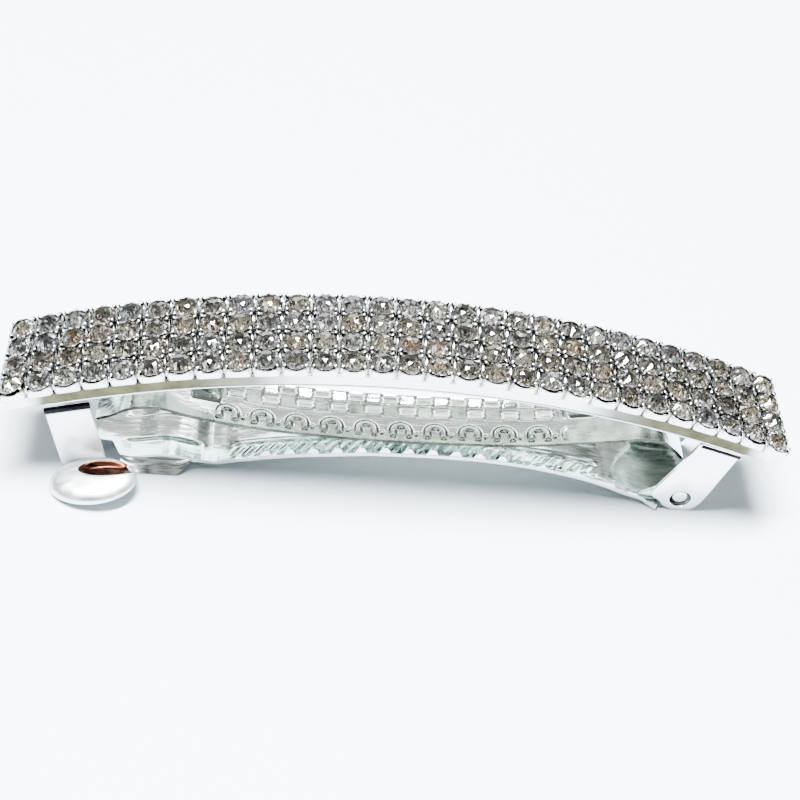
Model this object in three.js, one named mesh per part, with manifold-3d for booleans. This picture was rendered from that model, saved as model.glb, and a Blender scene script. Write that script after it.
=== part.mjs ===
// A rhinestone hair clip of the spring-barrette kind, in millimetres.
// +X runs along the clip to the hinge, -Y is the front, +Z is up, and it stands on the plane z = 0.
import * as THREE from 'three';
import { mergeVertices } from 'three/addons/utils/BufferGeometryUtils.js';
import Module from 'manifold-3d';

const wasm = await Module();
wasm.setup();

// Driving dimensions.
const COLUMNS = 29;
const ROWS = 4;
const PITCH = 3.0;
const ARC_RADIUS = 121.5;
const CROWN_HEIGHT = 17.0;

// Heights along the arc's normal, from the underside of the cups.
const CUP_FLOOR = 0.25;
const CLAW_TOP = 1.7;
const STONE_CULET = 0.6;
const STONE_GIRDLE = 1.45;
const STONE_TABLE = 2.3;
const BACKING = { top: -0.3, bottom: -0.7, halfLength: 42.0, halfWidth: 5.6 };
const PLATE = { top: -1.0, bottom: -1.6, from: -38.6, to: 39.4, halfWidth: 5.5 };
const CATCH_BASE = { top: -1.9, bottom: -2.3, from: -38.2, to: -33.6, halfWidth: 4.7 };

// Hinge and side plates.
const EAR = { inner: 5.0, outer: 5.45 };
const PIVOT = { x: 32.75, z: 1.75, hole: 1.2, peg: 0.85 };
const LEG = { inner: 5.05, outer: 5.45, lean: 10 };
const HOOK = { reach: 4.3, from: -34.9, to: -33.7, bottom: 0.55, top: 0.95 };
const PADDLE = { x: -32.8, y: 8.2, z: 1.3, squash: 0.7 };

// Spring strip and clasp arm.
const BAR = { halfWidth: 3.7, thickness: 0.4 };
const ARM = { thickness: 0.45, halfWidth: 3.9, hingeHalfWidth: 4.6, shoulderHalfWidth: 4.3 };
const LIP = { from: -29.8, to: -21.8, bottom: 0.15, outer: 5.7 };
const TOOTH = { count: 11, first: -14.2, pitch: 2.62, height: 0.8, width: 1.1, thickness: 0.4 };

// One claw of a cup, and the foil strip that holds a column's stones.
const CLAW = { along: 0.5, across: 0.4, foot: 0.1 };
const FOIL = { width: 0.7, thickness: 0.25, height: 1.3 };

// Side views, X then Z: the ears, the legs, and the upper lines of the tension bar and the clasp arm.
const EAR_OUTLINE = [
  [33.0, 10.9], [38.0, 9.4], [37.7, 8.8], [35.3, 1.5], [34.7, 0.45], [33.9, 0],
  [32.0, 0], [31.1, 0.4], [30.5, 1.2], [29.1, 2.1], [32.1, 8.3], [32.6, 9.6],
];
const LEG_OUTLINE = [
  [-38.05, 8.5], [-33.4, 9.85], [-31.55, 1.5], [-32.2, 0.9], [-36.0, 0.35], [-36.45, 0.8],
];
const PADDLE_PROFILE = [
  [0, -0.75], [3.2, -0.75], [4.4, -0.55], [4.8, -0.1], [4.75, 0.3], [4.2, 0.7],
  [3.3, 0.9], [2.4, 0.75], [1.4, 0.4], [0, 0.3],
];
const BAR_LINE = [
  [-33.0, 5.7], [-31.4, 6.6], [-29.8, 7.8], [-27.7, 8.6], [-25.6, 8.5], [-22.6, 7.7], [-18.4, 7.0],
  [-12.6, 6.4], [-6.0, 6.15], [0.5, 6.15], [7.0, 6.4], [13.4, 6.8], [18.0, 7.5], [22.4, 8.3],
  [27.0, 9.1], [29.4, 8.9], [31.0, 7.8], [32.2, 6.6],
];
const ARM_LINE = [
  [-36.6, 1.75], [-33.2, 1.75], [-31.4, 1.6], [-28.8, 1.7], [-25.4, 2.4], [-22.4, 1.95], [-19.8, 1.2],
  [-17.0, 1.8], [-12.5, 2.8], [-7.0, 3.6], [-1.6, 4.2], [6.0, 4.45], [12.0, 4.2], [20.0, 3.3], [24.0, 2.5],
  [27.6, 1.5], [31.0, 0.7], [33.6, 0.75],
];
const LUG_OUTLINE = [[27.8, 1.2], [33.6, 0.5], [34.2, 1.2], [34.2, 2.2], [33.4, 3.1], [32.2, 3.1], [30.2, 2.6]];

const SILVER = { color: 0xe9ecee, roughness: 0.16, metalness: 1.0 };
const STEEL = { color: 0xdde1e3, roughness: 0.2, metalness: 1.0 };
const STONE = { color: 0xb9aa9c, roughness: 0.05, metalness: 0.1 };

function solid(geometry) {
  const plain = geometry.clone();
  plain.deleteAttribute('normal');
  plain.deleteAttribute('uv');
  const merged = mergeVertices(plain, 1e-4);
  return new wasm.Manifold(new wasm.Mesh({
    numProp: 3,
    vertProperties: merged.attributes.position.array,
    triVerts: new Uint32Array(merged.index.array),
  }));
}

function join(solids) {
  return solids.reduce((whole, next) => whole.add(next));
}

function named(name, body, finish) {
  const mesh = body.getMesh();
  const geometry = new THREE.BufferGeometry();
  geometry.setAttribute('position', new THREE.BufferAttribute(mesh.vertProperties, 3));
  geometry.setIndex(new THREE.BufferAttribute(mesh.triVerts, 1));
  geometry.computeVertexNormals();
  const node = new THREE.Mesh(geometry, new THREE.MeshStandardMaterial(finish));
  node.name = name;
  return node;
}

// The point at arc length s along the band and height n above the underside of the cups.
function onArc(s, n) {
  const angle = s / ARC_RADIUS;
  const radius = ARC_RADIUS + n;
  return new THREE.Vector2(radius * Math.sin(angle), CROWN_HEIGHT - ARC_RADIUS + radius * Math.cos(angle));
}

function points(pairs) {
  return pairs.map(([across, up]) => new THREE.Vector2(across, up));
}

function columnPlace(column) {
  return (column - (COLUMNS - 1) / 2) * PITCH;
}

function rowPlace(row) {
  return (row - (ROWS - 1) / 2) * PITCH;
}

// Turns geometry made upright at the origin to stand on the arc at arc length s.
function standOnArc(geometry, s, y) {
  const foot = onArc(s, 0);
  return geometry.rotateY(s / ARC_RADIUS).translate(foot.x, y, foot.y);
}

// A slab whose outline is drawn in X and Z, reaching from yLow to yHigh.
function sideSlab(outline, yLow, yHigh) {
  const geometry = new THREE.ExtrudeGeometry(new THREE.Shape(outline), {
    depth: yHigh - yLow,
    bevelEnabled: false,
  });
  return solid(geometry.rotateX(Math.PI / 2).translate(0, yHigh, 0));
}

// A slab whose outline is drawn in X and Y, reaching from zLow to zHigh.
function planSlab(outline, zLow, zHigh) {
  const geometry = new THREE.ExtrudeGeometry(new THREE.Shape(outline), {
    depth: zHigh - zLow,
    bevelEnabled: false,
  });
  return solid(geometry.translate(0, 0, zLow));
}

function arcSlab(from, to, bottom, top, yLow, yHigh) {
  const steps = Math.max(2, Math.round((to - from) / PITCH));
  const upper = [];
  const lower = [];
  for (let i = 0; i <= steps; i += 1) {
    const s = from + (to - from) * i / steps;
    upper.push(onArc(s, top));
    lower.unshift(onArc(s, bottom));
  }
  return sideSlab([...upper, ...lower], yLow, yHigh);
}

function disc(x, z, radius, yLow, yHigh, sides) {
  const geometry = new THREE.CylinderGeometry(radius, radius, yHigh - yLow, sides);
  return solid(geometry.translate(x, (yLow + yHigh) / 2, z));
}

// A strip of even thickness whose upper line passes smoothly through the given points.
function stripOutline(points, thickness, steps) {
  const curve = new THREE.CatmullRomCurve3(points.map(([x, z]) => new THREE.Vector3(x, 0, z)));
  const upper = [];
  const lower = [];
  for (let i = 0; i <= steps; i += 1) {
    const place = curve.getPoint(i / steps);
    const along = curve.getTangent(i / steps);
    upper.push(new THREE.Vector2(place.x, place.z));
    lower.unshift(new THREE.Vector2(place.x + along.z * thickness, place.z - along.x * thickness));
  }
  return [...upper, ...lower];
}

function mirrored(side, low, high) {
  return side < 0 ? [-high, -low] : [low, high];
}

// One row of the stone setting: the cups' floors as one strip, with a pair of claws at each cup's corners.
function settingRow(row) {
  const y = rowPlace(row);
  const half = PITCH / 2 - 0.16;
  const end = COLUMNS * PITCH / 2;
  const pieces = [arcSlab(-end, end, 0, CUP_FLOOR, y - half, y + half)];
  for (let corner = 0; corner <= COLUMNS; corner += 1) {
    const furthest = end - CLAW.along / 2;
    const s = Math.min(Math.max(columnPlace(corner) - PITCH / 2, -furthest), furthest);
    for (const side of [-1, 1]) {
      const claw = new THREE.BoxGeometry(CLAW.along, CLAW.across, CLAW_TOP - CLAW.foot);
      claw.translate(0, 0, (CLAW_TOP + CLAW.foot) / 2);
      pieces.push(solid(standOnArc(claw, s, y + side * (half - CLAW.across / 2))));
    }
  }
  return join(pieces);
}

// The stones of one column, held together by the thin foil strip behind them.
function stoneColumn(column) {
  const s = columnPlace(column);
  const profile = [
    new THREE.Vector2(0, STONE_CULET),
    new THREE.Vector2(1.25, STONE_GIRDLE),
    new THREE.Vector2(0.75, STONE_TABLE),
    new THREE.Vector2(0, STONE_TABLE),
  ];
  const pieces = [];
  for (let row = 0; row < ROWS; row += 1) {
    const stone = new THREE.LatheGeometry(profile, 6).rotateX(Math.PI / 2);
    pieces.push(solid(standOnArc(stone, s, rowPlace(row))));
  }
  const foil = new THREE.BoxGeometry(FOIL.width, (ROWS - 1) * PITCH, FOIL.thickness).translate(0, 0, FOIL.height);
  pieces.push(solid(standOnArc(foil, s, 0)));
  return join(pieces);
}

// The barrette's top plate with its two hinge ears.
function topPlate() {
  const pieces = [arcSlab(PLATE.from, PLATE.to, PLATE.bottom, PLATE.top, -PLATE.halfWidth, PLATE.halfWidth)];
  for (const side of [-1, 1]) {
    const [low, high] = mirrored(side, EAR.inner, EAR.outer);
    const hole = disc(PIVOT.x, PIVOT.z, PIVOT.hole, low - 1, high + 1, 24);
    pieces.push(sideSlab(points(EAR_OUTLINE), low, high).subtract(hole));
  }
  return join(pieces);
}

function backingStrip() {
  const { halfLength, halfWidth, bottom, top } = BACKING;
  return arcSlab(-halfLength, halfLength, bottom, top, -halfWidth, halfWidth);
}

function catchBase() {
  const { from, to, bottom, top, halfWidth } = CATCH_BASE;
  return arcSlab(from, to, bottom, top, -halfWidth, halfWidth);
}

// One side of the catch: a flat leg, a small hook on its inner face and a dished finger paddle at its foot.
function catchLeg(side) {
  const [low, high] = mirrored(side, LEG.inner, LEG.outer);
  const leg = sideSlab(points(LEG_OUTLINE), low, high);
  const { reach, from, to, bottom, top } = HOOK;
  const [hookLow, hookHigh] = mirrored(side, reach, LEG.inner + 0.1);
  const hook = sideSlab(points([[from, bottom], [to, bottom], [to, top], [from, top]]), hookLow, hookHigh);
  const paddle = new THREE.LatheGeometry(points(PADDLE_PROFILE), 28).rotateX(Math.PI / 2);
  paddle.scale(1, PADDLE.squash, 1).rotateY(-LEG.lean * Math.PI / 180);
  paddle.translate(PADDLE.x, side * PADDLE.y, PADDLE.z);
  return join([leg, hook, solid(paddle)]);
}

// The sprung bar between plate and arm: low in the middle, high at both ends, its tips bent down.
function tensionBar() {
  const w = BAR.halfWidth;
  const strip = sideSlab(stripOutline(BAR_LINE, BAR.thickness, 60), -w, w);
  const plan = [[-33.2, -3.0], [-28.0, -w], [33.4, -w], [33.4, w], [-28.0, w], [-33.2, 3.0]];
  return strip.intersect(planSlab(points(plan), 0, 20));
}

// The clasp arm: an arched strip, a head that passes between the legs, side lips, teeth and two hinge lugs.
function claspArm() {
  const strip = sideSlab(stripOutline(ARM_LINE, ARM.thickness, 60), -6, 6);
  const { halfWidth, hingeHalfWidth, shoulderHalfWidth } = ARM;
  const half = [
    [-36.4, 2.6], [-35.6, 3.9], [-33.4, 3.9], [-32.8, 2.2], [-31.2, 2.2], [-30.2, shoulderHalfWidth],
    [-22.0, shoulderHalfWidth], [-19.0, halfWidth], [16.0, halfWidth], [27.5, hingeHalfWidth], [33.4, hingeHalfWidth],
  ];
  const plan = [...half.map(([x, y]) => [x, -y]), ...[...half].reverse()];
  const pieces = [strip.intersect(planSlab(points(plan), -2, 12))];
  for (const side of [-1, 1]) {
    pieces.push(armLip(side), ...armTeeth(side), ...hingeLug(side));
  }
  return join(pieces);
}

// The flange turned down and outwards from the arm's shoulder.
function armLip(side) {
  const { from, to, bottom, outer } = LIP;
  const inner = ARM.shoulderHalfWidth;
  const wall = [[to, 1.5], [to - 1.6, bottom], [from + 1.2, bottom], [from, 1.1], [-25.4, 2.2]];
  const skirt = [[to - 1.6, bottom], [to - 2.0, 0.6], [from + 1.4, 0.6], [from + 1.2, bottom]];
  const [wallLow, wallHigh] = mirrored(side, inner - 0.4, inner);
  const [skirtLow, skirtHigh] = mirrored(side, inner - 0.2, outer);
  return sideSlab(points(wall), wallLow, wallHigh).add(sideSlab(points(skirt), skirtLow, skirtHigh));
}

function armTeeth(side) {
  const samples = new THREE.SplineCurve(points(ARM_LINE)).getPoints(400);
  const edge = ARM.halfWidth - 0.05;
  const [low, high] = mirrored(side, edge - TOOTH.thickness, edge);
  return Array.from({ length: TOOTH.count }, (_, i) => {
    const x = TOOTH.first + i * TOOTH.pitch;
    const z = samples.reduce((best, p) => (Math.abs(p.x - x) < Math.abs(best.x - x) ? p : best)).y;
    const outline = [[x - TOOTH.width / 2, z - 0.2], [x + TOOTH.width / 2, z - 0.2], [x, z + TOOTH.height]];
    return sideSlab(points(outline), low, high);
  });
}

// A lug turned up from the arm's edge, with the peg that turns in the ear's hole.
function hingeLug(side) {
  const [low, high] = mirrored(side, ARM.hingeHalfWidth - ARM.thickness, ARM.hingeHalfWidth);
  const [pegLow, pegHigh] = mirrored(side, ARM.hingeHalfWidth - 0.2, EAR.outer - 0.1);
  return [
    sideSlab(points(LUG_OUTLINE), low, high),
    disc(PIVOT.x, PIVOT.z, PIVOT.peg, pegLow, pegHigh, 20),
  ];
}

const clip = new THREE.Group();
clip.name = 'rhinestone_hair_clip';
clip.add(named('top_plate', topPlate(), SILVER));
clip.add(named('backing_strip', backingStrip(), SILVER));
clip.add(named('catch_base', catchBase(), STEEL));
clip.add(named('catch_leg_front', catchLeg(-1), STEEL));
clip.add(named('catch_leg_rear', catchLeg(1), STEEL));
clip.add(named('tension_bar', tensionBar(), STEEL));
clip.add(named('clasp_arm', claspArm(), STEEL));
for (let row = 0; row < ROWS; row += 1) {
  clip.add(named(`setting_row_${row + 1}`, settingRow(row), SILVER));
}
for (let column = 0; column < COLUMNS; column += 1) {
  const number = String(column + 1).padStart(2, '0');
  clip.add(named(`stone_column_${number}`, stoneColumn(column), STONE));
}

export default clip;
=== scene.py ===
# A rhinestone hair clip: its looks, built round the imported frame. Lengths are millimetres until make_piece.
import math
import random

import bmesh
import bpy
import numpy as np
from mathutils import Matrix, Vector


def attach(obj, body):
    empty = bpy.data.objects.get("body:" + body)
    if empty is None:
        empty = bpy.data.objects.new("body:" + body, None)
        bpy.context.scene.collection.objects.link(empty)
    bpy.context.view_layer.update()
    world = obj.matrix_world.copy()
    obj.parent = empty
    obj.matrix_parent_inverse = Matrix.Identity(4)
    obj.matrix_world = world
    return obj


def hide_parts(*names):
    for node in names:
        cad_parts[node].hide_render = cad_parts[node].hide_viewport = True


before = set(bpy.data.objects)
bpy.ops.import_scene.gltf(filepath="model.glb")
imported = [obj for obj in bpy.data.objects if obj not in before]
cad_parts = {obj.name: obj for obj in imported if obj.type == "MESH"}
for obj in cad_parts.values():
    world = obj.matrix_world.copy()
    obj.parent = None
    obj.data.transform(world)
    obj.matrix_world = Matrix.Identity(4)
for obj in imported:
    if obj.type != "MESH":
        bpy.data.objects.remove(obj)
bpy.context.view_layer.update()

MM = 0.001
COLUMNS = 29
ROWS = 4
PITCH = 3.0
ARC_RADIUS = 121.5
CROWN_HEIGHT = 17.0

# Stones and cups: radii and half widths, and heights from the underside of the cups.
STONE_RADIUS = 1.455
GIRDLE = 1.42
TABLE = 2.24
CULET = 0.34
CUP_HALF = 1.455
CUP_INNER = 1.30

# Sheets under the cups: their ends along the band, and their heights from the underside of the cups.
BACKING_ENDS = (-43.4, 43.4)
BACKING_LEVELS = (-1.18, 0.2)
BACKING_HALF_WIDTH = 5.6
PLATE_ENDS = (-38.6, 39.4)
PLATE_LEVELS = (-1.52, -1.22)
PLATE_HALF_WIDTH = 5.5
SADDLE_ENDS = (-38.2, -33.6)
SADDLE_LEVELS = (-2.3, -1.9)
SADDLE_HALF_WIDTH = 4.7

# Side plates, each between two distances from the middle of the clip.
EAR_FACES = (5.0, 5.45)
LEG_FACES = (5.05, 5.45)
PIVOT = (32.75, 1.75)
PIVOT_HOLE = 1.2
PEG_RADIUS = 0.85
PADDLE_CENTRE = (-32.8, 8.2, 1.44)
PADDLE_SQUASH = 0.7
LEG_LEAN = math.radians(10)

# Across the pad from its underside round the rim to the top: the part of its radius, then the height.
PADDLE_RIM = [
    (0.30, -0.76), (0.62, -0.76), (0.80, -0.74), (0.91, -0.68), (0.97, -0.56), (1.0, -0.38), (0.99, -0.18),
    (0.965, 0.04), (0.92, 0.26), (0.86, 0.44), (0.79, 0.59), (0.71, 0.70), (0.62, 0.79), (0.53, 0.85),
    (0.44, 0.89), (0.35, 0.92), (0.26, 0.94), (0.17, 0.95), (0.08, 0.95),
]
PADDLE_WIDEST = 5  # which row of PADDLE_RIM is the widest
PADDLE_RADIUS = 4.78
DISH_OFFSET = (1.5, 1.2)
DISH_RADII = (3.0, 1.75)

# Side views, X then Z.
EAR_OUTLINE = [
    (33.0, 10.8), (37.9, 9.4), (37.6, 8.6), (35.3, 1.5), (34.5, 0.25), (33.9, 0.02),
    (32.0, 0.02), (31.1, 0.4), (30.5, 1.2), (29.1, 2.1), (32.1, 8.3), (32.6, 9.6),
]
LEG_OUTLINE = [(-38.05, 8.05), (-33.4, 9.4), (-31.55, 1.5), (-32.2, 0.9), (-36.0, 0.35), (-36.45, 0.8)]
LUG_OUTLINE = [(27.8, 1.2), (33.6, 0.5), (34.2, 1.2), (34.2, 2.2), (33.4, 3.1), (32.2, 3.1), (30.2, 2.6)]
# Outlines of the dark plates of painted shade along the folds.
LEG_FOLD = [(-38.1, 8.1), (-33.3, 9.5), (-33.45, 10.0), (-38.25, 8.6)]
EAR_FOLD = [(33.1, 10.15), (37.8, 8.75), (37.92, 9.17), (33.22, 10.57)]
BAR_LINE = [
    (-33.0, 5.7), (-31.4, 6.6), (-29.8, 7.8), (-27.7, 8.6), (-25.6, 8.5), (-22.6, 7.7), (-18.4, 7.0),
    (-12.6, 6.4), (-6.0, 6.15), (0.5, 6.15), (7.0, 6.4), (13.4, 6.8), (18.0, 7.5), (22.4, 8.3),
    (27.0, 9.1), (29.4, 8.9), (31.0, 7.8), (32.2, 6.6),
]
ARM_LINE = [
    (-36.6, 1.75), (-33.2, 1.75), (-31.4, 1.6), (-28.8, 1.7), (-25.4, 2.4), (-22.4, 1.95),
    (-19.8, 1.2), (-17.0, 1.8), (-12.5, 2.8), (-7.0, 3.6), (-1.6, 4.2), (6.0, 4.45),
    (12.0, 4.2), (20.0, 3.2), (24.0, 2.3), (27.6, 1.1), (30.2, 0.62), (33.6, 0.62),
]
BAR_THICKNESS = 0.4
ARM_THICKNESS = 0.45

# Half the arm's width at places along X.
ARM_PLAN = [
    (-36.5, 2.6), (-35.6, 3.85), (-33.4, 3.85), (-32.8, 2.2), (-31.2, 2.2), (-30.2, 4.3), (-22.0, 4.3),
    (-19.0, 3.9), (16.0, 3.9), (27.0, 4.6), (28.6, 4.95), (30.2, 5.85), (30.5, 4.6), (33.7, 4.6),
]

# The pattern pressed into the bar. A pocket is its X range, then its Y range.
PATTERN_ORIGIN = -40.0
PATTERN_ENDS = (-20.4, 18.6)
CHECK_LENGTH = 1.92
CHECK_ROWS = ((0.2, 1.8), (2.0, 3.55))
ARCH_PITCH = 3.85
ARCH_CENTRE_Y = -2.2
BAR_POCKETS = [(-22.7, -19.6, -0.9, 1.9), (19.4, 22.2, 0.2, 2.8)]
POCKET_SLOPE = 0.32

# The arm's slanted ridges and its teeth.
RIDGE_PITCH = 1.31
TOOTH_COUNT = 11
TOOTH_FIRST = -14.2
TOOTH_PITCH = 2.62

SPARKLE_COUNT = 7

# The camera: metres, degrees, and millimetres of lens on a 36 mm sensor.
CAMERA_PLACE = (-0.01907, -0.13804, 0.13965)
CAMERA_PITCH = 43.19
CAMERA_YAW = -7.89
CAMERA_ROLL = 9.62
CAMERA_LENS = 77.7

random.seed(29)


# ---------------------------------------------------------------- materials

def new_material(name):
    material = bpy.data.materials.new(name)
    material.use_nodes = True
    tree = material.node_tree
    return material, tree, tree.nodes["Principled BSDF"]


def add_node(tree, kind, **settings):
    node = tree.nodes.new(kind)
    for key, value in settings.items():
        if key in node.inputs:
            node.inputs[key].default_value = value
        else:
            setattr(node, key, value)
    return node


def ramp(tree, source, stops):
    node = tree.nodes.new("ShaderNodeValToRGB")
    elements = node.color_ramp.elements
    while len(elements) < len(stops):
        elements.new(0.5)
    for element, (position, colour) in zip(elements, stops):
        element.position = position
        element.color = colour
    tree.links.new(source, node.inputs["Fac"])
    return node


def grey(value):
    return (value, value, value, 1.0)


def plated_metal(name, bright, dull, roughness, bump):
    """Plating with a mottled colour, fine rubbed scratches and painted shade in its hollows; roughness is its
    two ends.
    """
    material, tree, shader = new_material(name)
    place = add_node(tree, "ShaderNodeTexCoord")
    mottle = add_node(tree, "ShaderNodeTexNoise", Scale=420.0, Detail=5.0, Roughness=0.6)
    tree.links.new(place.outputs["Object"], mottle.inputs["Vector"])
    stretch = add_node(tree, "ShaderNodeMapping")
    stretch.inputs["Scale"].default_value = (0.12, 1.0, 1.0)
    tree.links.new(place.outputs["Object"], stretch.inputs["Vector"])
    scratches = add_node(tree, "ShaderNodeTexNoise", Scale=1800.0, Detail=3.0)
    tree.links.new(stretch.outputs["Vector"], scratches.inputs["Vector"])
    # Painted shade: ambient occlusion darkens the base colour in hollows and creases, where shade falls.
    crevice_occlusion = add_node(tree, "ShaderNodeAmbientOcclusion", Distance=0.0009)
    crevice_occlusion.samples = 4
    tone = ramp(tree, mottle.outputs["Fac"], [(0.35, dull), (0.62, bright)])
    painted_crevice_shade = ramp(tree, crevice_occlusion.outputs["AO"], [(0.15, grey(0.55)), (0.75, grey(1.0))])
    mix = add_node(tree, "ShaderNodeMix", data_type="RGBA", blend_type="MULTIPLY")
    mix.inputs["Factor"].default_value = 1.0
    tree.links.new(tone.outputs["Color"], mix.inputs["A"])
    tree.links.new(painted_crevice_shade.outputs["Color"], mix.inputs["B"])
    tree.links.new(mix.outputs["Result"], shader.inputs["Base Color"])
    low, high = roughness
    rough = ramp(tree, scratches.outputs["Fac"], [(0.35, grey(low)), (0.7, grey(high))])
    tree.links.new(rough.outputs["Color"], shader.inputs["Roughness"])
    relief = add_node(tree, "ShaderNodeBump", Strength=bump, Distance=0.00006)
    tree.links.new(scratches.outputs["Fac"], relief.inputs["Height"])
    tree.links.new(relief.outputs["Normal"], shader.inputs["Normal"])
    shader.inputs["Metallic"].default_value = 1.0
    return material


def warm_toward_ends(material):
    """Keeps the warm tone to a stretch near each end; the middle and the tips are painted bright plate, a
    painted reflection.
    """
    tree = material.node_tree
    shader = tree.nodes["Principled BSDF"]
    warm = shader.inputs["Base Color"].links[0].from_socket
    place = add_node(tree, "ShaderNodeTexCoord")
    split = add_node(tree, "ShaderNodeSeparateXYZ")
    tree.links.new(place.outputs["Object"], split.inputs["Vector"])
    along = add_node(tree, "ShaderNodeMapRange")
    for socket, value in (("From Min", -0.045), ("From Max", 0.045)):
        along.inputs[socket].default_value = value
    tree.links.new(split.outputs["X"], along.inputs["Value"])
    fade = ramp(tree, along.outputs["Result"], [
        (0.055, grey(1.0)), (0.075, grey(0.0)), (0.24, grey(0.0)), (0.32, grey(0.10)), (0.40, grey(1.0)),
        (0.70, grey(1.0)), (0.75, grey(0.10)), (0.80, grey(0.0)), (0.925, grey(0.0)), (0.95, grey(1.0)),
    ])
    # Painted reflection: where the mask is 1, the warm colour gives way to bright plate.
    mix = add_node(tree, "ShaderNodeMix", data_type="RGBA")
    mix.inputs["B"].default_value = (0.80, 0.82, 0.83, 1.0)
    tree.links.new(fade.outputs["Color"], mix.inputs["Factor"])
    tree.links.new(warm, mix.inputs["A"])
    tree.links.new(mix.outputs["Result"], shader.inputs["Base Color"])


def stone_glass():
    """Clear cut glass with a faint smoky warmth that differs from stone to stone."""
    material, tree, shader = new_material("smoky_cut_glass")
    tint = add_node(tree, "ShaderNodeAttribute", attribute_name="tint")
    colour = ramp(tree, tint.outputs["Fac"], [
        (0.0, (0.90, 0.81, 0.66, 1.0)), (0.35, (0.97, 0.94, 0.84, 1.0)),
        (0.7, (0.99, 1.0, 0.95, 1.0)), (1.0, (0.92, 0.91, 0.95, 1.0)),
    ])
    tree.links.new(colour.outputs["Color"], shader.inputs["Base Color"])
    place = add_node(tree, "ShaderNodeTexCoord")
    smear = add_node(tree, "ShaderNodeTexNoise", Scale=900.0, Detail=2.0)
    tree.links.new(place.outputs["Object"], smear.inputs["Vector"])
    rough = ramp(tree, smear.outputs["Fac"], [(0.45, grey(0.0)), (0.75, grey(0.04))])
    tree.links.new(rough.outputs["Color"], shader.inputs["Roughness"])
    shader.inputs["Transmission Weight"].default_value = 1.0
    shader.inputs["IOR"].default_value = 1.85
    return material


def stone_foil():
    """The foil behind the stone: a mirror with smoky, brown and a few violet or gold facets; its near-black
    facets are painted dark reflections.
    """
    material, tree, shader = new_material("stone_foil")
    facet = add_node(tree, "ShaderNodeAttribute", attribute_name="facet")
    colour = ramp(tree, facet.outputs["Fac"], [
        (0.0, (0.002, 0.002, 0.002, 1.0)), (0.43, (0.008, 0.006, 0.005, 1.0)),
        (0.48, (0.14, 0.10, 0.05, 1.0)), (0.53, (0.50, 0.42, 0.27, 1.0)),
        (0.59, (0.98, 0.95, 0.84, 1.0)), (0.93, (1.0, 1.0, 0.96, 1.0)),
        (0.965, (0.34, 0.30, 0.62, 1.0)), (1.0, (0.80, 0.42, 0.14, 1.0)),
    ])
    tree.links.new(colour.outputs["Color"], shader.inputs["Base Color"])
    place = add_node(tree, "ShaderNodeTexCoord")
    grain = add_node(tree, "ShaderNodeTexNoise", Scale=2600.0, Detail=2.0)
    tree.links.new(place.outputs["Object"], grain.inputs["Vector"])
    rough = ramp(tree, grain.outputs["Fac"], [(0.4, grey(0.03)), (0.7, grey(0.12))])
    tree.links.new(rough.outputs["Color"], shader.inputs["Roughness"])
    shader.inputs["Metallic"].default_value = 1.0
    return material


SILVER = plated_metal(
    "bright_silver_plate", (0.97, 0.975, 0.98, 1), (0.90, 0.91, 0.915, 1), (0.06, 0.16), 0.25)
CUP_SILVER = plated_metal(
    "cup_silver", (0.98, 0.98, 0.985, 1), (0.90, 0.90, 0.905, 1), (0.10, 0.24), 0.30)
SPRING_STEEL = plated_metal(
    "plated_spring_steel", (0.95, 0.96, 0.965, 1), (0.86, 0.88, 0.89, 1), (0.30, 0.45), 0.2)
PRESSED_STEEL = plated_metal(
    "pressed_plated_steel", (0.83, 0.90, 0.87, 1), (0.62, 0.71, 0.67, 1), (0.07, 0.18), 0.35)
# Painted shade: the claws are a darker copy of the cup silver, so they read dark round small highlights.
CLAW_SILVER = plated_metal(
    "polished_claw_painted_shade", (0.62, 0.62, 0.61, 1), (0.28, 0.28, 0.27, 1), (0.03, 0.10), 0.3)
# Painted shade: the dark inside of the cups, where shade falls round the stones.
CUP_SHADE = plated_metal(
    "painted_shade_cup_inside", (0.05, 0.05, 0.05, 1), (0.01, 0.01, 0.01, 1), (0.15, 0.4), 0.3)
# Painted shade: near-black plates along the folds, where the bends show dark.
FOLD_SHADE = plated_metal(
    "painted_fold_shade", (0.004, 0.004, 0.005, 1), (0.001, 0.001, 0.002, 1), (0.3, 0.5), 0.3)
# Painted shade: the bar's cut edges are dark, while the arm's edges stay bright silver.
BAR_EDGE_SHADE = plated_metal(
    "painted_shade_bar_edge", (0.07, 0.075, 0.07, 1), (0.02, 0.022, 0.02, 1), (0.25, 0.5), 0.5)
# Painted shade: the plate's top, underside and ends, darkening what the bar reflects under the band.
PLATE_SHADE = plated_metal(
    "painted_shade_plate", (0.30, 0.30, 0.25, 1), (0.05, 0.05, 0.045, 1), (0.15, 0.4), 0.5)
# Painted reflection and shade: the dark warm brown inside the paddle's dish.
DISH_SHADE = plated_metal(
    "painted_reflection_dish", (0.055, 0.018, 0.010, 1), (0.008, 0.003, 0.002, 1), (0.16, 0.35), 0.3)
# The backing's warm colour; warm_toward_ends paints a bright reflection over its middle and tips.
EDGE_STRIP = plated_metal(
    "warm_backing_metal", (0.072, 0.066, 0.038, 1), (0.038, 0.034, 0.018, 1), (0.2, 0.4), 0.4)
warm_toward_ends(EDGE_STRIP)
GLASS = stone_glass()
FOIL = stone_foil()


# ---------------------------------------------------------------- mesh helpers

def arc_place(s, n):
    """X and Z at arc length s along the band, n above the underside of the cups."""
    angle = s / ARC_RADIUS
    radius = ARC_RADIUS + n
    return radius * math.sin(angle), CROWN_HEIGHT - ARC_RADIUS + radius * math.cos(angle)


def arc_frame(s, y):
    """The matrix that stands a cup or stone made at the origin on the band."""
    x, z = arc_place(s, 0.0)
    return Matrix.Translation((x, y, z)) @ Matrix.Rotation(s / ARC_RADIUS, 4, "Y")


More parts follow.
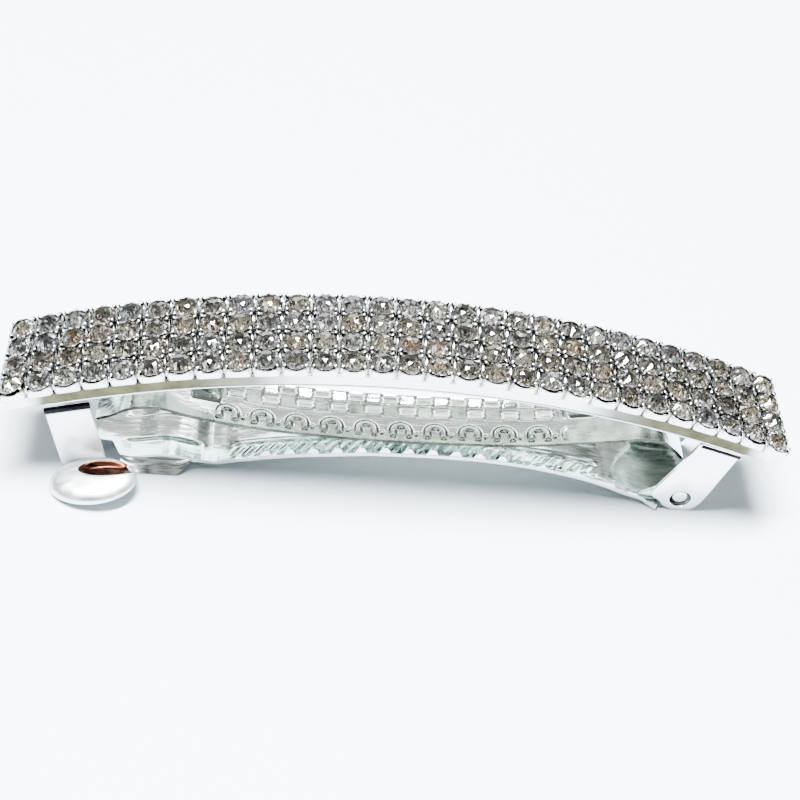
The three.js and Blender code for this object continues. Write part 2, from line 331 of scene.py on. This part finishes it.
def make_piece(name, bm, materials, body, nodes=(), smooth=None):
    bmesh.ops.recalc_face_normals(bm, faces=bm.faces)
    bmesh.ops.scale(bm, vec=(MM, MM, MM), verts=bm.verts)
    mesh = bpy.data.meshes.new(name)
    bm.to_mesh(mesh)
    bm.free()
    for material in materials:
        mesh.materials.append(material)
    piece = bpy.data.objects.new(name, mesh)
    bpy.context.scene.collection.objects.link(piece)
    if smooth is not None:
        mesh.polygons.foreach_set("use_smooth", [True] * len(mesh.polygons))
        mesh.set_sharp_from_angle(angle=math.radians(smooth))
    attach(piece, body)
    if nodes:
        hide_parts(*nodes)
    return piece


def paint_since(bm, seen, slot):
    """Gives a material slot to every face made after the first ones seen."""
    bm.faces.ensure_lookup_table()
    for face in bm.faces[seen:]:
        face.material_index = slot


def round_edges(piece, width, angle=40):
    bevel = piece.modifiers.new("round_edges", "BEVEL")
    bevel.width = width * MM
    bevel.segments = 2
    bevel.limit_method = "ANGLE"
    bevel.angle_limit = math.radians(angle)
    bevel.harden_normals = False


def loop_faces(bm, rings):
    """Quads between each closed ring of vertices and the next."""
    count = len(rings[0])
    for lower, upper in zip(rings, rings[1:]):
        for i in range(count):
            j = (i + 1) % count
            bm.faces.new((lower[i], lower[j], upper[j], upper[i]))


def smooth_line(points, steps):
    """Points evenly taken from a curve through the given ones, with the direction at each."""
    known = np.array(points, dtype=float)
    padded = np.vstack([2 * known[0] - known[1], known, 2 * known[-1] - known[-2]])
    places = []
    for i in range(len(known) - 1):
        a, b, c, d = padded[i:i + 4]
        for t in np.linspace(0, 1, 24, endpoint=False):
            places.append(0.5 * (2 * b + (c - a) * t + (2 * a - 5 * b + 4 * c - d) * t * t
                                 + (3 * b - a - 3 * c + d) * t ** 3))
    places.append(known[-1])
    places = np.array(places)
    travelled = np.concatenate([[0], np.cumsum(np.linalg.norm(np.diff(places, axis=0), axis=1))])
    wanted = np.linspace(0, travelled[-1], steps + 1)
    even = np.stack([np.interp(wanted, travelled, places[:, k]) for k in range(2)], axis=1)
    heading = np.gradient(even, axis=0)
    heading /= np.linalg.norm(heading, axis=1)[:, None]
    return even, heading


def pressed_strip(bm, line, steps, across, half_width, thickness, relief):
    """A sheet-metal strip along a side-view line; relief(x, y) presses both of its faces alike.

    Its cut edges take the second material."""
    places, headings = smooth_line(line, steps)
    rings = []
    for (x, z), (tx, tz) in zip(places, headings):
        low, high = half_width(x)
        ys = [low + (high - low) * k / across for k in range(across + 1)]
        top = []
        under = []
        for y in ys:
            lift = relief(x, y)
            top.append(bm.verts.new((x - tz * lift, y, z + tx * lift)))
            drop = thickness - lift
            under.append(bm.verts.new((x + tz * drop, y, z - tx * drop)))
        rings.append(top + under[::-1])
    loop_faces(bm, rings)
    bm.faces.new(rings[0])
    bm.faces.new(rings[-1])
    for face in bm.faces:
        ys = [vert.co.y for vert in face.verts]
        if max(ys) - min(ys) < 0.05:
            face.material_index = 1


def circle(cx, cz, radius, count):
    angles = np.linspace(0, 2 * math.pi, count, endpoint=False)
    return [(cx + radius * math.cos(a), cz + radius * math.sin(a)) for a in angles]


def on_side(side, near, far):
    """The y range between two distances from the middle, at the front (-1) or the rear (1)."""
    return (near, far) if side > 0 else (-far, -near)


def side_plate(bm, outline, low, high, holes=(), edge=0.09):
    """A flat plate standing in the X-Z plane between y = low and y = high, with round holes."""
    curve = bpy.data.curves.new("outline", "CURVE")
    curve.dimensions = "2D"
    curve.fill_mode = "BOTH"
    for ring in [outline] + [circle(*hole, 40) for hole in holes]:
        spline = curve.splines.new("POLY")
        spline.points.add(len(ring) - 1)
        for point, (x, z) in zip(spline.points, ring):
            point.co = (x, z, 0, 1)
        spline.use_cyclic_u = True
    curve.extrude = (high - low) / 2 - edge
    curve.bevel_depth = edge
    curve.bevel_resolution = 2
    curve.offset = -edge
    holder = bpy.data.objects.new("outline", curve)
    mesh = bpy.data.meshes.new_from_object(holder)
    stand = Matrix.Translation((0, (low + high) / 2, 0)) @ Matrix.Rotation(math.pi / 2, 4, "X")
    mesh.transform(stand)
    bm.from_mesh(mesh)
    bmesh.ops.remove_doubles(bm, verts=bm.verts, dist=0.002)
    bpy.data.objects.remove(holder)
    bpy.data.curves.remove(curve)
    bpy.data.meshes.remove(mesh)


def rounded(outline, radius):
    """The outline with each corner turned on a small arc."""
    steps = 5
    result = []
    count = len(outline)
    for i in range(count):
        before, here, after = (Vector(outline[(i + k) % count]) for k in (-1, 0, 1))
        back = before - here
        on = after - here
        reach = min(radius, back.length * 0.45, on.length * 0.45)
        start = here + back.normalized() * reach
        end = here + on.normalized() * reach
        for k in range(steps + 1):
            t = k / steps
            result.append(tuple(start * (1 - t) ** 2 + here * 2 * t * (1 - t) + end * t * t))
    return result


# ---------------------------------------------------------------- the stones

def add_stone(bm, place, tint, facet):
    """A brilliant: octagonal table, kite and girdle facets, a cone of foiled facets below."""
    spin = random.uniform(0, math.pi / 4)
    tilt = Matrix.Rotation(random.gauss(0, math.radians(3.0)), 4, "X")
    tilt = tilt @ Matrix.Rotation(random.gauss(0, math.radians(3.0)), 4, "Y")
    centre = Matrix.Translation((0, 0, GIRDLE))
    stand = place @ centre @ tilt @ Matrix.Rotation(spin, 4, "Z") @ centre.inverted()

    def ring(count, radius, height, turn=0.0):
        verts = []
        for k in range(count):
            angle = (k + turn) * 2 * math.pi / count
            point = Vector((radius * math.cos(angle), radius * math.sin(angle), height))
            verts.append(bm.verts.new(stand @ point))
        return verts

    table = ring(8, STONE_RADIUS * 0.42, TABLE - 0.035)
    crest = bm.verts.new(stand @ Vector((0, 0, TABLE)))
    middle = ring(8, STONE_RADIUS * 0.70, TABLE - 0.20, 0.5)
    girdle_top = ring(16, STONE_RADIUS, GIRDLE + 0.06)
    girdle_low = ring(16, STONE_RADIUS, GIRDLE - 0.05)
    culet = bm.verts.new(stand @ Vector((0, 0, CULET + 0.05)))
    faces = []
    for k in range(8):
        after = (k + 1) % 8
        faces.append(bm.faces.new((crest, table[k], table[after])))
        faces.append(bm.faces.new((table[k], middle[k], table[after])))
        faces.append(bm.faces.new((table[k], middle[k - 1], girdle_top[2 * k], middle[k])))
        faces.append(bm.faces.new((middle[k], girdle_top[2 * k], girdle_top[2 * k + 1])))
        faces.append(bm.faces.new((middle[k], girdle_top[2 * k + 1], girdle_top[(2 * k + 2) % 16])))
    for k in range(16):
        after = (k + 1) % 16
        faces.append(bm.faces.new((girdle_top[k], girdle_low[k], girdle_low[after], girdle_top[after])))
        if k % 2 == 0:
            faces.append(bm.faces.new((girdle_low[k], culet, girdle_low[(k + 2) % 16], girdle_low[after])))
    shade = random.random()
    for face in faces:
        face.material_index = 0
        face[tint] = shade
    add_foil(bm, ring, stand, facet)


def add_foil(bm, ring, stand, facet):
    """The mirror behind a stone: two rings of small facets round a point."""
    outer = ring(12, STONE_RADIUS * 0.985, GIRDLE - 0.09)
    middle = ring(12, STONE_RADIUS * 0.50, GIRDLE - 0.62, 0.5)
    tip = bm.verts.new(stand @ Vector((0, 0, CULET - 0.05)))
    for k in range(12):
        after = (k + 1) % 12
        faces = [
            bm.faces.new((outer[k], middle[k], outer[after])),
            bm.faces.new((middle[k], middle[after], outer[after])),
        ]
        if k % 2 == 0:
            faces.append(bm.faces.new((middle[k], tip, middle[(k + 2) % 12], middle[after])))
        for face in faces:
            face.material_index = 1
            # A random value per facet picks its foil colour; near-black picks are painted dark reflections.
            face[facet] = random.random()


def build_stones():
    for column in range(COLUMNS):
        bm = bmesh.new()
        tint = bm.faces.layers.float.new("tint")
        facet = bm.faces.layers.float.new("facet")
        for row in range(ROWS):
            s = (column - (COLUMNS - 1) / 2) * PITCH
            y = (row - (ROWS - 1) / 2) * PITCH
            add_stone(bm, arc_frame(s, y), tint, facet)
        number = f"{column + 1:02d}"
        make_piece(f"cut_stones_{number}", bm, [GLASS, FOIL], "root", [f"stone_column_{number}"])


# ---------------------------------------------------------------- the claw cups

def cup_wall_height(angle):
    """Low at the middle of each side, high at the corners where the claws stand."""
    toward_corner = abs(math.sin(2 * angle))
    return 1.10 + 0.28 * toward_corner ** 3


def square_ring(bm, place, half, corner, height):
    """A ring round a square with rounded corners; height is a number, or a function of the angle."""
    ring = []
    for k in range(40):
        angle = (k + 0.5) * 2 * math.pi / 40
        reach = half / max(abs(math.cos(angle)), abs(math.sin(angle)))
        x = reach * math.cos(angle)
        y = reach * math.sin(angle)
        cx = max(min(x, half - corner), corner - half)
        cy = max(min(y, half - corner), corner - half)
        away = Vector((x - cx, y - cy))
        if abs(x) > half - corner and abs(y) > half - corner and away.length > 0:
            away = away.normalized() * corner
        lift = height(angle) if callable(height) else height
        ring.append(bm.verts.new(place @ Vector((cx + away.x, cy + away.y, lift))))
    return ring


def add_cup(bm, place):
    """A square cup: bright outside, dark inside with painted shade, with a claw at each corner."""
    rings = [
        square_ring(bm, place, CUP_HALF - 0.22, 0.3, 0.22),
        square_ring(bm, place, CUP_HALF - 0.05, 0.34, 0.27),
        square_ring(bm, place, CUP_HALF, 0.34, 0.38),
        square_ring(bm, place, CUP_HALF, 0.32, lambda a: cup_wall_height(a) - 0.06),
        square_ring(bm, place, CUP_HALF - 0.05, 0.32, cup_wall_height),
        square_ring(bm, place, CUP_INNER + 0.03, 0.26, cup_wall_height),
        square_ring(bm, place, CUP_INNER, 0.26, lambda a: cup_wall_height(a) - 0.06),
        square_ring(bm, place, CUP_INNER, 0.26, 0.30),
    ]
    loop_faces(bm, rings[:6])
    bm.faces.new(rings[0])
    # The inner wall and floor take the painted shade.
    seen = len(bm.faces)
    loop_faces(bm, rings[5:])
    bm.faces.new(rings[-1])
    paint_since(bm, seen, 1)
    seen = len(bm.faces)
    for quarter in range(4):
        add_claw(bm, place @ Matrix.Rotation(math.pi / 4 + quarter * math.pi / 2, 4, "Z"))
    paint_since(bm, seen, 2)


def add_claw(bm, place):
    """A prong that rises at the cup's corner and folds over the stone's edge."""
    path = [(1.86, 0.95), (1.87, 1.25), (1.85, 1.5), (1.76, 1.65), (1.63, 1.73), (1.50, 1.75), (1.42, 1.72)]
    half_widths = [0.28, 0.21, 0.17, 0.16, 0.15, 0.13, 0.07]
    half_depths = [0.08, 0.09, 0.10, 0.10, 0.09, 0.07, 0.04]
    rings = []
    for i, (r, n) in enumerate(path):
        before = path[max(i - 1, 0)]
        after = path[min(i + 1, len(path) - 1)]
        heading = Vector((after[0] - before[0], after[1] - before[1])).normalized()
        normal = Vector((-heading.y, heading.x))
        ring = []
        for k in range(8):
            angle = (k + 0.5) * math.pi / 4
            side = half_widths[i] * math.copysign(abs(math.cos(angle)) ** 0.6, math.cos(angle))
            depth = half_depths[i] * math.copysign(abs(math.sin(angle)) ** 0.6, math.sin(angle))
            ring.append(bm.verts.new(place @ Vector((r + normal.x * depth, side, n + normal.y * depth))))
        rings.append(ring)
    loop_faces(bm, rings)
    bm.faces.new(rings[0])
    bm.faces.new(rings[-1])


def build_cups():
    for row in range(ROWS):
        bm = bmesh.new()
        for column in range(COLUMNS):
            s = (column - (COLUMNS - 1) / 2) * PITCH
            y = (row - (ROWS - 1) / 2) * PITCH
            lean = Matrix.Rotation(random.gauss(0, math.radians(0.5)), 4, "X")
            add_cup(bm, arc_frame(s, y) @ lean)
        make_piece(f"claw_cups_{row + 1}", bm, [CUP_SILVER, CUP_SHADE, CLAW_SILVER], "root",
                   [f"setting_row_{row + 1}"], smooth=38)


# ---------------------------------------------------------------- plates

def arc_sheet(bm, ends, bottom, top, half_width, steps=160):
    """A sheet bent along the band, between two heights from the underside of the cups."""
    start, end = ends
    rings = []
    for i in range(steps + 1):
        s = start + (end - start) * i / steps
        ring = []
        for n, side in ((top, -1), (top, 1), (bottom, 1), (bottom, -1)):
            x, z = arc_place(s, n)
            ring.append(bm.verts.new((x, side * half_width, z)))
        rings.append(ring)
    loop_faces(bm, rings)
    bm.faces.new(rings[0])
    bm.faces.new(rings[-1])


def build_plates():
    """The backing, the plate with its ears, and the saddle that holds the catch legs."""
    bm = bmesh.new()
    arc_sheet(bm, BACKING_ENDS, *BACKING_LEVELS, BACKING_HALF_WIDTH)
    backing = make_piece("soldered_backing", bm, [EDGE_STRIP], "root",
                         ["backing_strip"], smooth=35)
    round_edges(backing, 0.12)
    bm = bmesh.new()
    arc_sheet(bm, PLATE_ENDS, *PLATE_LEVELS, PLATE_HALF_WIDTH)
    # Top, underside and ends take the painted shade; the long edges and the ears stay silver.
    for face in bm.faces:
        long_edge = len({vert.co.y > 0 for vert in face.verts}) == 1
        face.material_index = 0 if long_edge else 1
    for side in (1, -1):
        side_plate(bm, rounded(EAR_OUTLINE, 0.7), *on_side(side, *EAR_FACES), holes=[(*PIVOT, PIVOT_HOLE)])
    plate = make_piece("top_plate_with_ears", bm, [SILVER, PLATE_SHADE], "root",
                       ["top_plate"], smooth=35)
    round_edges(plate, 0.1)
    bm = bmesh.new()
    arc_sheet(bm, SADDLE_ENDS, *SADDLE_LEVELS, SADDLE_HALF_WIDTH, steps=16)
    saddle = make_piece("catch_saddle", bm, [SPRING_STEEL], "root",
                        ["catch_base"], smooth=35)
    round_edges(saddle, 0.1)


def build_fold_lines():
    """Painted shade: thin dark plates for the dark lines where the legs and ears turn down from the plate."""
    for side, where in ((-1, "front"), (1, "rear")):
        for end, outline, faces in (("catch", LEG_FOLD, (5.0, 5.5)), ("hinge", EAR_FOLD, (5.4, 5.52))):
            bm = bmesh.new()
            side_plate(bm, outline, *on_side(side, *faces), edge=0.04)
            make_piece(f"fold_line_{end}_{where}", bm, [FOLD_SHADE], "root", smooth=40)


def build_catch_legs():
    for side, name in ((-1, "front"), (1, "rear")):
        bm = bmesh.new()
        side_plate(bm, rounded(LEG_OUTLINE, 0.3), *on_side(side, *LEG_FACES))
        add_paddle(bm, side)
        make_piece(f"catch_leg_and_paddle_{name}", bm, [SPRING_STEEL, DISH_SHADE], f"catch_leg_{name}",
                   [f"catch_leg_{name}"], smooth=40)


def add_paddle(bm, side):
    """A thick oval finger pad with a rounded rim, and a small dish at the leg's foot."""
    x, y, z = PADDLE_CENTRE
    place = (Matrix.Translation((x, side * y, z)) @ Matrix.Rotation(-LEG_LEAN, 4, "Y")
             @ Matrix.Diagonal((1, PADDLE_SQUASH, 1, 1)))
    reach = [PADDLE_RADIUS * part for part, _ in PADDLE_RIM[PADDLE_WIDEST:]][::-1]
    level = [height for _, height in PADDLE_RIM[PADDLE_WIDEST:]][::-1]
    rings = []
    for part, height in PADDLE_RIM:
        ring = []
        for angle in np.linspace(0, 2 * math.pi, 72, endpoint=False):
            u = PADDLE_RADIUS * part * math.cos(angle)
            v = PADDLE_RADIUS * part * math.sin(angle)
            drop = dish_depth(u, v * side) if height > 0.4 else 0.0
            ring.append(bm.verts.new(place @ Vector((u, v, height - drop))))
        rings.append(ring)
    loop_faces(bm, rings)
    bm.faces.new(rings[0])
    bm.faces.new(rings[-1])
    add_dish(bm, place, side, reach, level)


def add_dish(bm, place, side, reach, level):
    """The lining of the dish, a thin oval skin just above the pad, dark warm brown: a painted reflection and
    painted shade.
    """
    first = len(bm.faces)
    skins = []
    for gap in (0.03, -0.05):
        rings = []
        for part in (1.0, 0.97, 0.9, 0.78, 0.62, 0.45, 0.28, 0.1):
            ring = []
            for angle in np.linspace(0, 2 * math.pi, 48, endpoint=False):
                u = DISH_OFFSET[0] + DISH_RADII[0] * part * math.cos(angle)
                v = -DISH_OFFSET[1] + DISH_RADII[1] * part * math.sin(angle)
                height = float(np.interp(math.hypot(u, v), reach, level)) - dish_depth(u, v) + gap
                ring.append(bm.verts.new(place @ Vector((u, v * side, height))))
            rings.append(ring)
        loop_faces(bm, rings)
        bm.faces.new(rings[-1])
        skins.append(rings[0])
    loop_faces(bm, skins)
    paint_since(bm, first, 1)


def dish_depth(u, v):
    """How far the dish is pressed below the pad at u along it and v across it."""
    away = math.hypot((u - DISH_OFFSET[0]) / DISH_RADII[0], (v + DISH_OFFSET[1]) / DISH_RADII[1])
    return 0.62 * (1 - soft_step(away, 0.75, 0.6))


# ---------------------------------------------------------------- tension bar and clasp arm

def soft_step(value, edge, width):
    """Rises smoothly from 0 to 1 over a width centred on the edge."""
    t = min(max((value - edge) / width + 0.5, 0.0), 1.0)
    return t * t * (3 - 2 * t)


def soft_box(value, low, high, width=0.22):
    """1 between low and high, with soft edges."""
    return soft_step(value, low, width) * (1 - soft_step(value, high, width))


def bar_width(x):
    half = 3.0 + 0.7 * min(max((x + 33.2) / 5.2, 0.0), 1.0)
    return -half, half


def pocket_relief(x, y):
    """Shallow pockets at both ends of the pressed pattern, falling to the rear."""
    drop = 0.0
    for left, right, low, high in BAR_POCKETS:
        drop += POCKET_SLOPE * (y - low) * soft_box(x, left, right, 0.4) * soft_box(y, low, high, 0.2)
    return -drop


def bar_relief(x, y):
    """Pressed checks that lean to and fro on the rear half, and a row of arches along the front."""
    fade = soft_box(x, *PATTERN_ENDS, 1.2)
    if fade == 0.0:
        return pocket_relief(x, y)
    cell = math.floor((x - PATTERN_ORIGIN) / CHECK_LENGTH)
    along = (x - PATTERN_ORIGIN) / CHECK_LENGTH - cell
    inside = soft_box(along, 0.06, 0.94, 0.12)
    lift = 0.0
    for row, (low, high) in enumerate(CHECK_ROWS):
        lean = 0.34 if (cell + row) % 2 == 0 else -0.20
        lift += lean * ((y - low) / (high - low) - 0.5) * inside * soft_box(y, low, high, 0.12)
    middle = (math.floor((x - PATTERN_ORIGIN) / ARCH_PITCH) + 0.5) * ARCH_PITCH + PATTERN_ORIGIN
    away = math.hypot(x - middle, max(y - ARCH_CENTRE_Y, 0.0))
    lift += 0.24 * soft_box(away, 0.55, 1.25, 0.45) * soft_step(y, -3.1, 0.5)
    between = math.hypot(x - middle - ARCH_PITCH / 2, (y + 2.6) * 1.4)
    lift += 0.14 * soft_box(between, -1.0, 0.45, 0.2)
    return lift * fade + pocket_relief(x, y)


def build_tension_bar():
    bm = bmesh.new()
    pressed_strip(bm, BAR_LINE, 620, 48, bar_width, BAR_THICKNESS, bar_relief)
    bar = make_piece("pressed_tension_bar", bm, [PRESSED_STEEL, BAR_EDGE_SHADE], "tension_bar",
                     ["tension_bar"], smooth=45)
    round_edges(bar, 0.05, angle=65)


def arm_width(x):
    half = float(np.interp(x, [p[0] for p in ARM_PLAN], [p[1] for p in ARM_PLAN]))
    return -half, half


def arm_relief(x, y):
    """Two long stiffening ribs with slanted gripping ridges outside them, and plain pressed ends."""
    side = abs(y)
    if -30.5 < x < -20.5:
        return -0.25 * soft_step(side, 1.9, 0.3) * soft_box(x, -29.6, -21.6, 1.2)
    if x > 24.0:
        return 0.25 * soft_box(side, 4.1, 5.3, 0.9) * soft_step(x, 27.5, 2.0)
    if x < -18.5:
        return 0.0
    rib = 0.2 * soft_box(side, 1.15, 1.75, 0.3)
    slant = (x - PATTERN_ORIGIN + side * 0.8) / RIDGE_PITCH
    ridge = 0.13 * (0.5 + 0.5 * math.cos(2 * math.pi * slant)) * soft_box(side, 2.0, 3.5, 0.3)
    fade = soft_box(x, -17.5, 23.0, 2.0)
    return (rib + ridge) * fade


def add_skirt(bm, side, places, ends, full, root_y, flare):
    """A flange turned down and outwards from the arm's edge, deepest between the two full places."""
    thickness = 0.38
    rings = []
    for x in np.linspace(*ends, 45):
        fall = soft_box(x, *full, 2.4)
        top = float(np.interp(x, places[:, 0], places[:, 1])) - 0.27
        outer = []
        inner = []
        for t in np.linspace(0, 1, 9):
            turn = t * t * (3 - 2 * t) if t < 0.5 else t
            y = root_y + flare * fall * turn
            z = max(top - (top - 0.16) * fall * t, 0.16)
            outer.append(bm.verts.new((x, side * y, z)))
            inner.append(bm.verts.new((x, side * (y - thickness), max(z - 0.08, 0.12))))
        rings.append(outer + inner[::-1])
    loop_faces(bm, rings)
    bm.faces.new(rings[0])
    bm.faces.new(rings[-1])


def add_teeth(bm, side, places):
    for i in range(TOOTH_COUNT):
        x = TOOTH_FIRST + i * TOOTH_PITCH
        z = float(np.interp(x, places[:, 0], places[:, 1]))
        outline = [(x - 0.8, z - 0.15), (x + 0.8, z - 0.15), (x + 0.15, z + 0.8), (x - 0.15, z + 0.8)]
        side_plate(bm, rounded(outline, 0.12), *on_side(side, 3.35, 3.85))


def build_clasp_arm():
    """The arm with its teeth, side skirts, hinge lugs and pegs."""
    bm = bmesh.new()
    pressed_strip(bm, ARM_LINE, 640, 44, arm_width, ARM_THICKNESS, arm_relief)
    places, _ = smooth_line(ARM_LINE, 640)
    for side in (-1, 1):
        add_teeth(bm, side, places)
        add_skirt(bm, side, places, ends=(-30.1, -21.3), full=(-29.9, -22.9), root_y=4.15, flare=1.35)
        side_plate(bm, rounded(LUG_OUTLINE, 0.5), *on_side(side, 4.15, 4.6))
        side_plate(bm, circle(*PIVOT, PEG_RADIUS, 32), *on_side(side, 4.4, 5.12))
    arm = make_piece("pressed_clasp_arm", bm, [PRESSED_STEEL, SILVER], "clasp_arm",
                     ["clasp_arm"], smooth=45)
    round_edges(arm, 0.1, angle=65)


# ---------------------------------------------------------------- stage, light and camera

def build_floor():
    bm = bmesh.new()
    bmesh.ops.create_grid(bm, x_segments=2, y_segments=2, size=3.0)
    mesh = bpy.data.meshes.new("table_top")
    bm.to_mesh(mesh)
    bm.free()
    material, tree, shader = new_material("pale_table")
    place = add_node(tree, "ShaderNodeTexCoord")
    cloud = add_node(tree, "ShaderNodeTexNoise", Scale=3.0, Detail=2.0)
    tree.links.new(place.outputs["Object"], cloud.inputs["Vector"])
    tone = ramp(tree, cloud.outputs["Fac"], [
        (0.3, (0.400, 0.438, 0.465, 1)), (0.7, (0.410, 0.448, 0.475, 1)),
    ])
    tree.links.new(tone.outputs["Color"], shader.inputs["Base Color"])
    shader.inputs["Roughness"].default_value = 0.55
    mesh.materials.append(material)
    floor = bpy.data.objects.new("table_top", mesh)
    bpy.context.scene.collection.objects.link(floor)


def area_light(name, place, target, size, power, colour=(1, 1, 1)):
    data = bpy.data.lights.new(name, "AREA")
    data.shape = "RECTANGLE"
    data.size, data.size_y = size
    data.energy = power
    data.color = colour
    light = bpy.data.objects.new(name, data)
    light.location = place
    light.rotation_euler = (Vector(target) - Vector(place)).to_track_quat("-Z", "Y").to_euler()
    bpy.context.scene.collection.objects.link(light)


def build_lights():
    world = bpy.data.worlds.new("studio")
    world.use_nodes = True
    tree = world.node_tree
    background = tree.nodes["Background"]
    place = add_node(tree, "ShaderNodeTexCoord")
    split = add_node(tree, "ShaderNodeSeparateXYZ")
    tree.links.new(place.outputs["Generated"], split.inputs["Vector"])
    sky = ramp(tree, split.outputs["Z"], [
        (0.0, (0.31, 0.31, 0.31, 1)), (0.30, (0.045, 0.045, 0.045, 1)), (0.44, (0.95, 0.95, 0.94, 1)),
        (0.52, (0.05, 0.06, 0.055, 1)), (0.62, (0.75, 0.80, 0.76, 1)), (0.72, (1.0, 1.0, 1.0, 1)),
        (0.79, (0.03, 0.03, 0.03, 1)), (0.86, (0.9, 0.92, 0.94, 1)), (0.93, (0.05, 0.05, 0.05, 1)),
        (1.0, (1.0, 1.0, 1.0, 1)),
    ])
    tree.links.new(sky.outputs["Color"], background.inputs["Color"])
    behind = add_node(tree, "ShaderNodeMapRange")
    for socket, value in (("From Min", -0.3), ("From Max", 0.3), ("To Min", 0.75), ("To Max", 1.0)):
        behind.inputs[socket].default_value = value
    tree.links.new(split.outputs["Y"], behind.inputs["Value"])
    tree.links.new(behind.outputs["Result"], background.inputs["Strength"])
    bpy.context.scene.world = world
    area_light("key", (-0.045, 0.06, 0.60), (0, 0, 0), (0.42, 0.12), 83, (0.94, 0.985, 1.0))
    area_light("front_panel", (-0.05, -0.36, 0.46), (0, 0, 0.01), (0.14, 0.08), 0.5, (0.96, 0.98, 1.0))
    area_light("back_panel", (0.0, 0.50, 0.36), (0, 0, 0.01), (0.45, 0.10), 0.9, (0.97, 1.0, 0.98))
    for k in range(SPARKLE_COUNT):
        turn = k * 2 * math.pi / SPARKLE_COUNT + 0.4
        place = (0.45 * math.cos(turn), 0.45 * math.sin(turn), 0.30 + 0.06 * (k % 3))
        area_light(f"sparkle_{k}", place, (0, 0, 0.01), (0.035, 0.035), 0.10)


def build_camera():
    pitch = math.radians(CAMERA_PITCH)
    yaw = math.radians(CAMERA_YAW)
    roll = math.radians(CAMERA_ROLL)
    view = Matrix.Rotation(roll, 3, "Y") @ Matrix.Rotation(pitch, 3, "X") @ Matrix.Rotation(-yaw, 3, "Z")
    right, forward, up = view[0], view[1], view[2]
    data = bpy.data.cameras.new("camera")
    data.lens = CAMERA_LENS
    data.sensor_width = 36.0
    data.clip_start = 0.005
    camera = bpy.data.objects.new("camera", data)
    columns = Matrix((right, up, -forward)).transposed().to_4x4()
    camera.matrix_world = Matrix.Translation(CAMERA_PLACE) @ columns
    bpy.context.scene.collection.objects.link(camera)
    bpy.context.scene.camera = camera


build_camera()
build_floor()
build_lights()
build_plates()
build_fold_lines()
build_catch_legs()
build_tension_bar()
build_clasp_arm()
build_cups()
build_stones()

bpy.context.view_layer.update()
